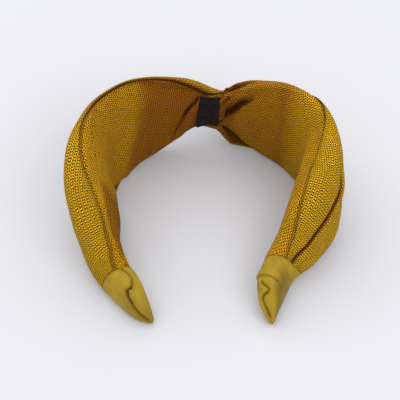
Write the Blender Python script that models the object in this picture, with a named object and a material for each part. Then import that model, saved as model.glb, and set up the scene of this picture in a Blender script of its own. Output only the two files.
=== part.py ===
"""Knotted headband: a sprung hoop in padded knit, crossed in a knot at the crown.

The headband lies on its lower rim, as on a table. +Z is up, along the width of the band.
The knot is at +Y, and the two arms run round to their pointed ends at -Y. The origin is at
the middle of the footprint, on the table.

Every long piece follows one centre line, from the left end over the crown to the right end.
At each distance along it the band has a cross-section with its own height, lean and
thickness. A piece is a ring of points in that cross-section, carried along the centre line.
Distances along the centre line are measured from the crown, and the left arm is negative.
"""

import math

import bmesh
import bpy
import numpy as np

MM = 0.001

# Driving dimensions, in millimetres. Each row is one cross-section, from the left end to the
# right end: centre x, y and z, half height, outward lean in degrees, thickness inside the
# centre line and thickness outside it.
SECTIONS = (
    (-29.6, -60.0, 2.1, 2.3, -10, 1.2, 1.4),
    (-35.8, -54.0, 5.9, 6.8, -20, 3.6, 4.7),
    (-42.0, -46.5, 8.6, 9.3, -22, 6.0, 6.0),
    (-48.5, -37.8, 10.6, 11.2, -15, 6.5, 8.2),
    (-57.0, -26.0, 17.1, 17.5, 4, 10.5, 9.2),
    (-62.0, -12.0, 24.1, 24.5, 12, 12.0, 8.3),
    (-64.0, 4.0, 28.6, 29.0, 13, 9.5, 7.1),
    (-61.8, 20.5, 29.6, 30.5, 11, 6.2, 6.5),
    (-55.3, 36.5, 30.1, 31.0, 7, 5.0, 6.0),
    (-44.0, 48.3, 30.6, 30.7, 3, 4.5, 5.5),
    (-29.5, 56.3, 30.8, 28.3, -1, 4.5, 5.0),
    (-15.0, 61.5, 31.1, 21.5, -5, 4.5, 5.0),
    (0.0, 63.0, 30.1, 15.5, -8, 4.5, 4.5),
    (15.0, 61.5, 29.6, 19.5, -5, 4.5, 5.0),
    (29.5, 56.3, 29.1, 26.5, -1, 4.5, 5.0),
    (44.0, 48.3, 29.6, 29.7, 3, 4.5, 5.5),
    (54.5, 37.0, 30.1, 31.0, 4, 5.0, 6.0),
    (61.2, 21.0, 29.6, 30.3, 1, 7.0, 8.1),
    (62.0, 4.0, 27.6, 28.0, -7, 11.5, 9.6),
    (57.0, -11.0, 24.1, 24.0, -14, 12.0, 8.6),
    (47.8, -23.5, 17.1, 17.0, -18, 9.8, 7.6),
    (36.8, -34.0, 10.6, 11.2, -20, 6.5, 7.2),
    (31.8, -45.0, 8.6, 9.3, -20, 6.0, 7.2),
    (30.9, -53.6, 5.9, 6.8, -15, 4.3, 5.3),
    (31.8, -60.8, 2.1, 2.3, -10, 1.3, 1.4),
)
FOOTPRINT_MIDDLE = (-0.78, 6.88)  # x and y, in the table above, of the origin
CROWN_ROW = 12
WRAP_ROW = 3
ROUNDNESS = 2.6  # exponent of the cross-section's outline: 2 is an ellipse, more is squarer

GRID = 6.5  # spacing of the cross-sections that all the pieces share

KNIT_WALL = 1.2
WRAP_WALL = 1.0
WRAP_TIP_DEPTH = 8.0  # solid cloth from the wrap's point to the bottom of its pocket
GAP = 0.35
PAD_GAP = 0.6  # between a foam pad and the outer panel over it
HOOP_THICKNESS = 1.5
HOOP_WIDTH = 12.0
HOOP_TIP_WIDTH = 6.0
HOOP_END_MARGIN = 14.0
HOOP_TAPER = 20.0

SEAM_ANGLE = 112.0  # from straight out, over the upper rim to the inner side
SEAM_HALF_SLOT = 1.35
PIPING_RADIUS = 0.9
PIPING_SIDES = 6
PIPING_INSET = 0.6

LABEL_WIDTH = 12.6
LABEL_WALL = 0.6
LABEL_END_ANGLE = 62.0
INNER_PANEL_START = LABEL_WIDTH / 2 + 0.8
OUTER_PANEL_START = 10.4
KNOT_CORE_HALF = 9.4
KNOT_CORE_INSET = 1.4

BAND_REACH = 25.0  # how far each knot band runs from the crown, along the centre line
BAND_RISE = 8.5  # how far each band climbs or drops from the middle of the knot
BAND_DROP = 5.0  # how far the middle of the knot sits below the middle of the neck
BAND_WIDTH = 22.0
BAND_RIM_SHARE = 0.92  # the bands stay within this share of the lobes' half height
UNDER_BAND_THICKNESS = 3.0
OVER_BAND_THICKNESS = 3.8

LEFT_HINGE = (-28.0, 54.2, 0.0)
RIGHT_HINGE = (29.6, 54.2, 0.0)

MUSTARD = (0.40, 0.22, 0.018, 1.0)
MUSTARD_INNER = (0.33, 0.16, 0.016, 1.0)
WRAP_MUSTARD = (0.42, 0.27, 0.03, 1.0)
PIPING_MUSTARD = (0.44, 0.25, 0.02, 1.0)
FOAM_WHITE = (0.80, 0.77, 0.66, 1.0)
HOOP_STEEL = (0.35, 0.35, 0.36, 1.0)
LABEL_BLACK = (0.012, 0.011, 0.012, 1.0)
GLUE_AMBER = (0.66, 0.58, 0.40, 1.0)

TABLE = np.array(SECTIONS, dtype=float)
TABLE[:, :2] -= FOOTPRINT_MIDDLE
STEPS = np.linalg.norm(np.diff(TABLE[:, :3], axis=0), axis=1)
ALONG = np.concatenate([[0.0], np.cumsum(STEPS)])
ALONG = ALONG - ALONG[CROWN_ROW]
LEFT_END, RIGHT_END = ALONG[0], ALONG[-1]
LEFT_WRAP, RIGHT_WRAP = ALONG[WRAP_ROW], ALONG[-1 - WRAP_ROW]


def clear_scene():
    for obj in list(bpy.data.objects):
        bpy.data.objects.remove(obj, do_unlink=True)


def section_values(distance):
    """The row of SECTIONS at a distance along the centre line, on a smooth curve."""
    slopes = np.gradient(TABLE, ALONG, axis=0)
    row = int(np.clip(np.searchsorted(ALONG, distance, side="right") - 1, 0, len(ALONG) - 2))
    step = ALONG[row + 1] - ALONG[row]
    t = (distance - ALONG[row]) / step
    return (
        (2 * t**3 - 3 * t**2 + 1) * TABLE[row]
        + (t**3 - 2 * t**2 + t) * step * slopes[row]
        + (3 * t**2 - 2 * t**3) * TABLE[row + 1]
        + (t**3 - t**2) * step * slopes[row + 1]
    )


def unit(vector):
    return vector / np.linalg.norm(vector)


class Section:
    """The band's cross-section at one distance: outward and upward axes, and its outline."""

    def __init__(self, distance):
        values = section_values(distance)
        before = section_values(max(distance - 0.05, LEFT_END))
        after = section_values(min(distance + 0.05, RIGHT_END))
        tangent = unit(after[:3] - before[:3])
        level_out = unit(np.cross((0.0, 0.0, 1.0), tangent))
        level_up = np.cross(tangent, level_out)
        lean = math.radians(values[4])
        self.distance = distance
        self.centre = values[:3]
        self.half_height = values[3]
        self.inside, self.outside = values[5], values[6]
        self.up = math.cos(lean) * level_up + math.sin(lean) * level_out
        self.out = math.cos(lean) * level_out - math.sin(lean) * level_up

    def outline(self, degrees, inset=0.0):
        """(out, up) of the outline at an angle, moved in by inset. 0 faces out, 90 is the top."""
        across = math.cos(math.radians(degrees))
        rise = math.sin(math.radians(degrees))
        reach = (self.outside if across > 0 else self.inside) - inset
        power = 2 / ROUNDNESS
        out = math.copysign(reach * abs(across) ** power, across)
        up = math.copysign((self.half_height - inset) * abs(rise) ** power, rise)
        return out, up

    def place(self, out, up, floor=0.0):
        """World point, in millimetres. The band lies flattened on the table at height floor."""
        point = self.centre + out * self.out + up * self.up
        point[2] = max(point[2], floor)
        return point

    def angle_past(self, degrees, slot, turn):
        """The angle reached by going slot millimetres round the outline from an angle."""
        travelled = 0.0
        here = np.array(self.outline(degrees))
        while travelled < slot:
            degrees += turn * 0.5
            there = np.array(self.outline(degrees))
            travelled += np.linalg.norm(there - here)
            here = there
        return degrees

    def even_angles(self, start, end, count):
        """Angles that split the outline between two angles into equal lengths."""
        fine = np.linspace(start, end, 121)
        points = np.array([self.outline(angle) for angle in fine])
        lengths = np.linalg.norm(np.diff(points, axis=0), axis=1)
        travelled = np.concatenate([[0.0], np.cumsum(lengths)])
        return np.interp(np.linspace(0.0, travelled[-1], count), travelled, fine)


def outer_angles(section):
    """The outer panel's own angles, from the lower seam over the outside to the upper one."""
    last = section.angle_past(SEAM_ANGLE, SEAM_HALF_SLOT, -1)
    return section.even_angles(-last, last, 13)


def round_angles(section):
    return section.even_angles(-180.0, 180.0, 17)[:-1]


def shell_ring(section, angles, inset, wall):
    """A strip of cloth that follows the outline through the given angles."""
    outer = [section.place(*section.outline(a, inset), floor=inset) for a in angles]
    inner_inset = inset + wall
    inner = [section.place(*section.outline(a, inner_inset), floor=inner_inset) for a in angles]
    return outer + inner[::-1]


def full_ring(section, inset):
    """The whole outline, moved in by inset."""
    angles = round_angles(section)
    return [section.place(*section.outline(a, inset), floor=inset) for a in angles]


def hoop_half_width(section):
    """The hoop narrows over the last stretch before each of its ends."""
    to_end = min(section.distance - LEFT_END, RIGHT_END - section.distance) - HOOP_END_MARGIN
    return np.interp(to_end, (0.0, HOOP_TAPER), (HOOP_TIP_WIDTH, HOOP_WIDTH)) / 2


def hoop_offset(section):
    """How far outside the centre line the hoop's middle is: its edges lie on the inner panel."""
    rise = hoop_half_width(section) / section.half_height
    depth = section.inside * (1 - rise**ROUNDNESS) ** (1 / ROUNDNESS)
    return -(depth - KNIT_WALL - 2 * GAP - HOOP_THICKNESS / 2)


def fill_ring(section, inset, angles):
    """What fills the band from the hoop outwards: flat on the hoop, round outside."""
    round_side = [section.place(*section.outline(a, inset), floor=inset) for a in angles]
    flat = hoop_offset(section) + HOOP_THICKNESS / 2 + 2 * GAP
    edge = hoop_half_width(section)
    flat_side = [section.place(flat, up) for up in (edge, 0.0, -edge)]
    return round_side + flat_side


def hoop_ring(section):
    middle = hoop_offset(section)
    half_width = hoop_half_width(section)
    half = HOOP_THICKNESS / 2
    corners = ((-half, -1), (half, -1), (half, 1), (-half, 1))
    return [section.place(middle + out, up * half_width) for out, up in corners]


def piping_ring(section, angle):
    """A round cord laid in the slot between the two panels."""
    out, up = section.outline(angle, PIPING_INSET)
    turns = np.linspace(0.0, 2 * math.pi, PIPING_SIDES, endpoint=False)
    return [
        section.place(out + PIPING_RADIUS * math.cos(t), up + PIPING_RADIUS * math.sin(t), 0.3)
        for t in turns
    ]


def sections_between(start, end):
    """Cross-sections from start to end. Pieces share the ones between, so their facets nest."""
    low, high = min(start, end) + GRID / 5, max(start, end) - GRID / 5
    shared = np.arange(math.ceil(low / GRID), math.floor(high / GRID) + 1) * GRID
    distances = np.concatenate([[start], shared if end > start else shared[::-1], [end]])
    return [Section(distance) for distance in distances]


def material(name, colour, roughness, metallic=0.0):
    made = bpy.data.materials.new(name)
    made.use_nodes = True
    shader = made.node_tree.nodes["Principled BSDF"]
    shader.inputs["Base Color"].default_value = colour
    shader.inputs["Roughness"].default_value = roughness
    shader.inputs["Metallic"].default_value = metallic
    made.diffuse_color = colour
    return made


def add_empty(name, location):
    empty = bpy.data.objects.new(name, None)
    empty.location = [value * MM for value in location]
    empty.empty_display_size = 0.01
    bpy.context.scene.collection.objects.link(empty)
    return empty


def make_solid(name, rings, surface, parent):
    """Joins equal rings of points into one closed body that hangs on its parent."""
    origin = np.array(parent.location)
    bm = bmesh.new()
    loops = [[bm.verts.new(np.array(point) * MM - origin) for point in ring] for ring in rings]
    for near, far in zip(loops, loops[1:]):
        for i in range(len(near)):
            j = (i + 1) % len(near)
            bm.faces.new((near[i], near[j], far[j], far[i]))
    bm.faces.new(loops[0][::-1])
    bm.faces.new(loops[-1])
    bmesh.ops.recalc_face_normals(bm, faces=bm.faces)
    mesh = bpy.data.meshes.new(name)
    bm.to_mesh(mesh)
    bm.free()
    mesh.materials.append(surface)
    mesh.shade_smooth()
    mesh.set_sharp_from_angle(angle=math.radians(50))
    obj = bpy.data.objects.new(name, mesh)
    bpy.context.scene.collection.objects.link(obj)
    obj.parent = parent
    return obj


def make_hoop(parent):
    """One strip of spring steel from end to end, narrowed towards its ends."""
    ends = LEFT_END + HOOP_END_MARGIN, RIGHT_END - HOOP_END_MARGIN
    rings = [hoop_ring(section) for section in sections_between(*ends)]
    make_solid("hoop_core", rings, material("hoop_steel", HOOP_STEEL, 0.35, 1.0), parent)


def make_knot_core(parent):
    """The gathered cloth that the two lobes are pinched to, outside the hoop."""
    rings = [
        fill_ring(s, KNOT_CORE_INSET, outer_angles(s)[1:-1])
        for s in sections_between(-KNOT_CORE_HALF, KNOT_CORE_HALF)
    ]
    make_solid("knot_core", rings, material("knot_core_knit", MUSTARD, 0.9), parent)


def make_label(parent):
    """A woven tape folded round the neck, over the inner side."""
    half = LABEL_WIDTH / 2
    rings = []
    for section in sections_between(-half, half):
        angles = section.even_angles(LABEL_END_ANGLE, 360.0 - LABEL_END_ANGLE, 15)
        rings.append(shell_ring(section, angles, 0.0, LABEL_WALL))
    make_solid("label", rings, material("label_black", LABEL_BLACK, 0.6), parent)


def make_knot_band(name, climb, lift, thickness, parent):
    """One of the two straps that cross outside the crown. climb is 1 or -1.

    The strap is flat where it lies on the lobes and padded outside. lift is how far it rises
    off the lobes to clear the strap under it.
    """
    rings = []
    for t in np.linspace(-1.0, 1.0, 17):
        section = Section(BAND_REACH * t)
        middle = climb * BAND_RISE * math.sin(t * math.pi / 2) - BAND_DROP
        room = BAND_RIM_SHARE * section.half_height - abs(middle)
        half_width = min(BAND_WIDTH / 2 * (1 - 0.4 * t * t), room)
        padding = thickness * (1 - 0.75 * t**4)
        base = GAP + lift * (1 - t**6)

        def point(across, height):
            up = middle + half_width * across
            bulge = (1 - abs(up / section.half_height) ** ROUNDNESS) ** (1 / ROUNDNESS)
            return section.place(section.outside * bulge + base + height, up)

        flat_side = [point(u, 0.0) for u in np.linspace(-1.0, 1.0, 9)]
        round_side = [point(u, padding * (1 - u**4) ** 0.5) for u in np.linspace(0.85, -0.85, 7)]
        rings.append(flat_side + round_side)
    make_solid(name, rings, material(name + "_knit", MUSTARD, 0.9), parent)


def make_panels(side, start, end, parent):
    """The outer panel rolls over both rims and meets the inner panel at two piped seams."""
    sign = math.copysign(1.0, start + end)
    outer, inner = [], []
    for section in sections_between(sign * OUTER_PANEL_START, end):
        outer.append(shell_ring(section, outer_angles(section), 0.0, KNIT_WALL))
    for section in sections_between(start, end):
        first = section.angle_past(SEAM_ANGLE, SEAM_HALF_SLOT, 1)
        angles = section.even_angles(first, 360.0 - first, 7)
        inner.append(shell_ring(section, angles, 0.0, KNIT_WALL))
    make_solid(side + "_outer_panel", outer, material(side + "_outer_knit", MUSTARD, 0.9), parent)
    make_solid(
        side + "_inner_panel", inner, material(side + "_inner_knit", MUSTARD_INNER, 0.92), parent
    )


def make_pipings(side, start, end, parent):
    for edge, angle in (("upper", SEAM_ANGLE), ("lower", -SEAM_ANGLE)):
        rings = [piping_ring(s, angle) for s in sections_between(start, end)]
        name = side + "_" + edge + "_piping"
        make_solid(name, rings, material(name + "_knit", PIPING_MUSTARD, 0.85), parent)


def make_foam(side, start, end, parent):
    """The pad between the hoop and the outer panel."""
    rings = [
        fill_ring(s, KNIT_WALL + PAD_GAP, outer_angles(s)[1:-1])
        for s in sections_between(start, end)
    ]
    make_solid(side + "_foam_pad", rings, material(side + "_foam", FOAM_WHITE, 0.95), parent)


def make_end(side, mouth, tip, parent):
    """The cap of plain cloth on an arm's end, and the hot glue that holds it to the hoop."""
    sign = math.copysign(1.0, tip)
    cavity = sections_between(tip - sign * WRAP_TIP_DEPTH, mouth)
    skin = sections_between(mouth, tip)
    rings = [full_ring(s, WRAP_WALL) for s in cavity] + [full_ring(s, 0.0) for s in skin]
    make_solid(side + "_end_wrap", rings, material(side + "_wrap_cloth", WRAP_MUSTARD, 0.7), parent)
    glue = [
        fill_ring(s, WRAP_WALL + GAP, round_angles(s)[4:13])
        for s in sections_between(mouth, tip - sign * (WRAP_TIP_DEPTH + 1.5))
    ]
    make_solid(side + "_end_glue", glue, material(side + "_glue", GLUE_AMBER, 0.4), parent)


def make_arm(side, sign, tip, mouth, parent):
    """One arm with its lobe. Its pieces stop short of the end wrap by the usual gap."""
    stop = mouth - sign * GAP
    make_panels(side, sign * INNER_PANEL_START, stop, parent)
    make_pipings(side, sign * OUTER_PANEL_START, stop, parent)
    make_foam(side, sign * (OUTER_PANEL_START + 0.3), stop, parent)
    make_end(side, mouth, tip, parent)


def main():
    clear_scene()
    crown = add_empty("crown", (0.0, 0.0, 0.0))
    left_hinge = add_empty("left_arm_hinge", LEFT_HINGE)
    right_hinge = add_empty("right_arm_hinge", RIGHT_HINGE)
    make_hoop(crown)
    make_knot_core(crown)
    make_label(crown)
    over_lift = UNDER_BAND_THICKNESS + GAP
    make_knot_band("knot_over_band", -1, over_lift, OVER_BAND_THICKNESS, crown)
    make_knot_band("knot_under_band", 1, 0.0, UNDER_BAND_THICKNESS, crown)
    make_arm("left", -1.0, LEFT_END, LEFT_WRAP, left_hinge)
    make_arm("right", 1.0, RIGHT_END, RIGHT_WRAP, right_hinge)
    bpy.context.view_layer.update()


main()
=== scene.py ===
import math
from collections import namedtuple

import bpy
import numpy as np
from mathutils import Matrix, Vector


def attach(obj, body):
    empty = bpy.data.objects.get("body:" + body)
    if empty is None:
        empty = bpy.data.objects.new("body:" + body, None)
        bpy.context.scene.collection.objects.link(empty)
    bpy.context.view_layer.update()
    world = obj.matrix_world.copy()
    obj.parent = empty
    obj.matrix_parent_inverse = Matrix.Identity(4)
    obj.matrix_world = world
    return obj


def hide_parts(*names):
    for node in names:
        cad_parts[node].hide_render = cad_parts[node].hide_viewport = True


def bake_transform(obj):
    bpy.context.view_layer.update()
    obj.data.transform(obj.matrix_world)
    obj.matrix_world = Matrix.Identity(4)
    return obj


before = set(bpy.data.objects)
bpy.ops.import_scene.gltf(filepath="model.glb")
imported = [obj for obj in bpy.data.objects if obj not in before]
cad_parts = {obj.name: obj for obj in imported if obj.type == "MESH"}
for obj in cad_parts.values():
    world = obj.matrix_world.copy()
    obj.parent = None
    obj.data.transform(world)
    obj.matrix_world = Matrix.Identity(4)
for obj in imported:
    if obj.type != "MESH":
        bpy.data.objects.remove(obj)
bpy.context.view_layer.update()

MM = 0.001

# The band's cross-sections, as the CAD has them: centre x, y and z, half height, outward lean
# in degrees, thickness inside and outside the centre line, in millimetres.
SECTIONS = np.array(
    (
        (-29.6, -60.0, 2.1, 2.3, -10, 1.2, 1.4),
        (-35.8, -54.0, 5.9, 6.8, -20, 3.6, 4.7),
        (-42.0, -46.5, 8.6, 9.3, -22, 6.0, 6.0),
        (-48.5, -37.8, 10.6, 11.2, -15, 6.5, 8.2),
        (-57.0, -26.0, 17.1, 17.5, 4, 10.5, 9.2),
        (-62.0, -12.0, 24.1, 24.5, 12, 12.0, 8.3),
        (-64.0, 4.0, 28.6, 29.0, 13, 9.5, 7.1),
        (-61.8, 20.5, 29.6, 30.5, 11, 6.2, 6.5),
        (-55.3, 36.5, 30.1, 31.0, 7, 5.0, 6.0),
        (-44.0, 48.3, 30.6, 30.7, 3, 4.5, 5.5),
        (-29.5, 56.3, 30.8, 28.3, -1, 4.5, 5.0),
        (-15.0, 61.5, 31.1, 21.5, -5, 4.5, 5.0),
        (0.0, 63.0, 30.1, 15.5, -8, 4.5, 4.5),
        (15.0, 61.5, 29.6, 19.5, -5, 4.5, 5.0),
        (29.5, 56.3, 29.1, 26.5, -1, 4.5, 5.0),
        (44.0, 48.3, 29.6, 29.7, 3, 4.5, 5.5),
        (54.5, 37.0, 30.1, 31.0, 4, 5.0, 6.0),
        (61.2, 21.0, 29.6, 30.3, 1, 7.0, 8.1),
        (62.0, 4.0, 27.6, 28.0, -7, 11.5, 9.6),
        (57.0, -11.0, 24.1, 24.0, -14, 12.0, 8.6),
        (47.8, -23.5, 17.1, 17.0, -18, 9.8, 7.6),
        (36.8, -34.0, 10.6, 11.2, -20, 6.5, 7.2),
        (31.8, -45.0, 8.6, 9.3, -20, 6.0, 7.2),
        (30.9, -53.6, 5.9, 6.8, -15, 4.3, 5.3),
        (31.8, -60.8, 2.1, 2.3, -10, 1.3, 1.4),
    )
)
SECTIONS[:, :2] -= (-0.78, 6.88)
CROWN_ROW = 12
ROUNDNESS = 2.6  # exponent of the cross-section's outline, where 2 would be an ellipse
FLOOR_SOFTNESS = 0.4  # how gently the underside flattens on the table
FLOOR_GAP = 0.05
SEAM_SOFTENING = 3.0  # how far along the band the curves below are rounded at their points
FOLD_REACH = 15.0  # no fold reaches further than this from its line



def lengths(line):
    """Distance of each point of a line from its start, along the line."""
    return np.concatenate([[0.0], np.cumsum(np.linalg.norm(np.diff(line, axis=0), axis=1))])


ALONG = lengths(SECTIONS[:, :3])
ALONG -= ALONG[CROWN_ROW]
LEFT_END, RIGHT_END = ALONG[0], ALONG[-1]

# The curves below are pairs of a distance along the band from the middle of the crown, in
# millimetres, negative to the left, and an angle round the cross-section or a height. Angle 0 is
# outward, 90 the top of the rim, 180 inward and 270 the bottom.
LEFT_LOWER_SEAM = ((-160, 259), (-16, 259), (-7, 226), (0, 212), (12, 208))
RIGHT_LOWER_SEAM = (
    (0, 202), (7, 200), (8.5, 203), (13, 221), (17.5, 239), (22, 249), (28, 259), (160, 259),
)
LEFT_SEAM = (
    (-160, 50), (-145, 66), (-138, 86), (-130.5, 108), (-123, 125), (-115.5, 135), (-104, 135),
    (-95.5, 122), (-85, 110), (-76, 98), (-62.5, 91), (-44, 91), (-33, 95), (-20.5, 95),
    (-13, 105), (-5, 109), (12, 108),
)
RIGHT_SEAM = (
    (0, 42), (44, 42), (54, 56), (63, 78), (70, 94), (75.5, 104), (81, 123), (88.5, 125),
    (95, 122), (101.5, 117), (113, 98), (123, 83), (131, 65), (140.5, 38), (146, 32), (160, 28),
)
# Where the rolled strip beside the left seam ends.
LEFT_RIM = (
    (-160, 112), (-145, 108), (-139.5, 108), (-131.5, 129), (-119.5, 148), (-109.5, 158),
    (-95.5, 165), (-88.5, 159), (-79.5, 141), (-70, 112), (-60, 100), (-40, 100), (-15, 116),
    (0, 118),
)
# How full the cloth stands over each lobe's top rim, in millimetres.
LEFT_FULLNESS = (
    (-100, -0.2), (-78, 0.4), (-60, 1.0), (-34, 1.5), (-23, 2.0), (-14, 2.4), (-6, 2.8), (0, 1.9),
    (4, 0.3), (9, -2.2), (13, -4.0),
)
RIGHT_FULLNESS = (
    (7, -3.2), (9, -2.8), (12, -1.2), (15, 0.3), (19, 1.5), (25, 1.7), (34, 1.3), (60, 1.0),
    (78, 0.4), (100, -0.2),
)
# How full the right arm's inner side is.
RIGHT_INNER_FULLNESS = (
    (68, 0), (77, 3.4), (86, 4.6), (96, 4.0), (108, 3.1), (124, 2.2), (136, 1.6), (150, 1.0),
)

# Folds, as lines over the surface: pairs of a distance along the band and an angle round it.
LEFT_UNDERLAP = ((-7.5, 135), (-10, 158), (-14.5, 178), (-17.5, 191), (-22, 213), (-26, 243))
LEFT_SECOND_FOLD = ((-9.5, 160), (-12.5, 173), (-16.5, 192), (-20.5, 207), (-23.5, 233))
LEFT_SOFT_RIDGE = (
    (-41, 120), (-43, 150), (-45.5, 164), (-48, 176), (-53.5, 189), (-62, 221), (-66, 250),
)
RIGHT_RIDGE = (
    (6.9, 200), (8.5, 190), (10.9, 181), (16.4, 172), (20.9, 157), (24.9, 149), (31.9, 135),
    (37, 124),
)
RIGHT_GATHERS = (
    ((6.5, 146), (9.5, 125), (12.0, 101)),
    ((6.9, 160), (10.0, 146), (13.5, 125), (16.5, 106)),
    ((6.9, 172), (9.9, 156), (12.5, 142), (16.0, 126), (19.5, 110)),
    ((7.4, 186), (9.4, 180), (11.9, 169), (14.4, 158), (17, 141), (23, 113)),
)
RIGHT_SOFT_RIDGE = ((67.5, 160), (67.5, 169), (67, 191), (62.5, 227))
RIGHT_PLEAT = (
    (91, 55), (96.5, 37), (101.5, 20), (109.5, 16), (117, 16), (127, 14), (133.5, 15), (140, 14),
    (147, 14),
)
LEFT_WRAP_CREASE = (
    (-149.0, 82), (-155.5, 88), (-159, 66), (-159.5, 36), (-165.5, 20), (-170.5, 13), (-176, 17),
)
RIGHT_WRAP_ARC = ((157.0, 130), (156.5, 90), (157, 57), (158, 38))
RIGHT_WRAP_CREASE = (
    (158.5, 103), (160.2, 92), (162, 79), (164, 93), (166, 107), (170, 99), (176, 90),
)

# Where each half of the cloth begins beside the crown and ends inside the wrap.
OUTER_ENDS = {"left": (17.0, -156.0), "right": (6.2, 153.0)}
INNER_ENDS = {"left": (-1.0, -156.0), "right": (1.0, 153.0)}
PIPING_ENDS = {"left": (-7.0, -149.0), "right": (8.5, 146.0)}
WADDING_ENDS = {"left": (-40.0, -147.0), "right": (42.0, 143.0)}
HOOP_ENDS = {"left": (0.0, -164.0), "right": (0.0, 163.0)}
KNOT_CORE_REACH = 11.0
LABEL_EDGES = (-6.8, 6.5)
LABEL_ANGLES = (118.0, 211.0)
STRAP_REACH = 25.5

CLOTH_COLUMNS = 200
FINE_STEPS = 241  # for measuring round a cross-section
WRAP_COLUMNS, WRAP_ROWS = 150, 130
WRAP_RING = 150.0  # the cross-section that spaces the wrap's columns
TIP_RINGS = (0.85, 0.6, 0.3, 0.05)  # the closing rings at the wrap's tip, as shares of its last row
TIP_REACH = 1.4

FLOOR_SIZE = 6.0  # metres
CAMERA_TARGET = (-0.00402, -0.00688, 0.025)  # metres
CAMERA_DISTANCE = 0.4
CAMERA_ELEVATION = 53.0
CAMERA_LENS = 67.3


def hermite(x, xs, ys):
    """Smooth values of ys at x, for ys given at xs. ys may have columns."""
    xs, ys = np.asarray(xs, float), np.asarray(ys, float)
    m = np.gradient(ys, xs, axis=0)
    row = np.clip(np.searchsorted(xs, x, side="right") - 1, 0, len(xs) - 2)
    step = xs[row + 1] - xs[row]
    t = (x - xs[row]) / step
    if ys.ndim > 1:
        t, step = t[..., None], step[..., None]
    return (
        (2 * t**3 - 3 * t**2 + 1) * ys[row]
        + (t**3 - 2 * t**2 + t) * step * m[row]
        + (3 * t**2 - 2 * t**3) * ys[row + 1]
        + (t**3 - t**2) * step * m[row + 1]
    )


def along_knots(s, knots):
    """The curve through the knots at distances s, with its corners softened."""
    xs, ys = zip(*knots)
    before = np.interp(s - SEAM_SOFTENING, xs, ys)
    after = np.interp(s + SEAM_SOFTENING, xs, ys)
    return 0.5 * np.interp(s, xs, ys) + 0.25 * (before + after)


def smooth(x, low, high):
    """Eases from 0 at low to 1 at high."""
    t = np.clip((x - low) / (high - low), 0.0, 1.0)
    return t * t * (3 - 2 * t)


def round_off(t):
    """A quarter circle's fall, from 0 at t = 0 to 1 at t = 1."""
    return 1 - np.sqrt(np.maximum(0.0, 1 - t * t))


def power(value, exponent):
    """A power that keeps the value's sign."""
    return np.sign(value) * np.abs(value) ** exponent


class Frames:
    """Centre, outward and upward axes and sizes of the cross-sections at distances s."""

    def __init__(self, s):
        s = np.asarray(s, float)
        values = hermite(s, ALONG, SECTIONS)
        ahead = hermite(np.minimum(s + 0.05, RIGHT_END), ALONG, SECTIONS)[..., :3]
        behind = hermite(np.maximum(s - 0.05, LEFT_END), ALONG, SECTIONS)[..., :3]
        tangent = ahead - behind
        tangent /= np.linalg.norm(tangent, axis=-1, keepdims=True)
        level = np.cross((0.0, 0.0, 1.0), tangent)
        level /= np.linalg.norm(level, axis=-1, keepdims=True)
        upright = np.cross(tangent, level)
        lean = np.radians(values[..., 4:5])
        self.centre = values[..., :3]
        self.up = np.cos(lean) * upright + np.sin(lean) * level
        self.out = np.cos(lean) * level - np.sin(lean) * upright
        self.half, self.inside, self.outside = values[..., 3], values[..., 5], values[..., 6]

    def outline(self, degrees):
        """(out, up) of the outline. degrees has one more axis than s."""
        across, rise = np.cos(np.radians(degrees)), np.sin(np.radians(degrees))
        reach = np.where(across > 0, self.outside[..., None], self.inside[..., None])
        return reach * power(across, 2 / ROUNDNESS), self.half[..., None] * power(rise, 2 / ROUNDNESS)

    def place(self, out, up):
        """Points at distances out and up from the sections' centres."""
        return (
            self.centre[..., None, :]
            + out[..., None] * self.out[..., None, :]
            + up[..., None] * self.up[..., None, :]
        )


def on_table(points):
    """Flattens what would be below the table, softly."""
    z = points[..., 2]
    points[..., 2] = 0.5 * (z + np.sqrt(z * z + 4 * FLOOR_SOFTNESS**2)) + FLOOR_GAP
    return points


def even_angles(frames, first, last, columns):
    """Angles in equal steps of length round each section, and that whole length."""
    fine = first[:, None] + np.linspace(0, 1, FINE_STEPS)[None, :] * (last - first)[:, None]
    out, up = frames.outline(fine)
    length = np.hypot(np.diff(out, axis=1), np.diff(up, axis=1))
    length = np.concatenate([np.zeros((len(fine), 1)), np.cumsum(length, axis=1)], axis=1)
    share = np.linspace(0, 1, columns)
    angle = np.array([np.interp(share * l[-1], l, a) for l, a in zip(length, fine)])
    return angle, length[:, -1:]


def outward_normals(points, centre, across):
    """Unit normals of a grid, away from the sections' centres. across is the step by column."""
    normal = np.cross(np.gradient(points, axis=0), across)
    normal /= np.linalg.norm(normal, axis=-1, keepdims=True) + 1e-12
    return normal if ((points - centre) * normal).sum() >= 0 else -normal


Patch = namedtuple("Patch", "points normal angle")


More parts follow.
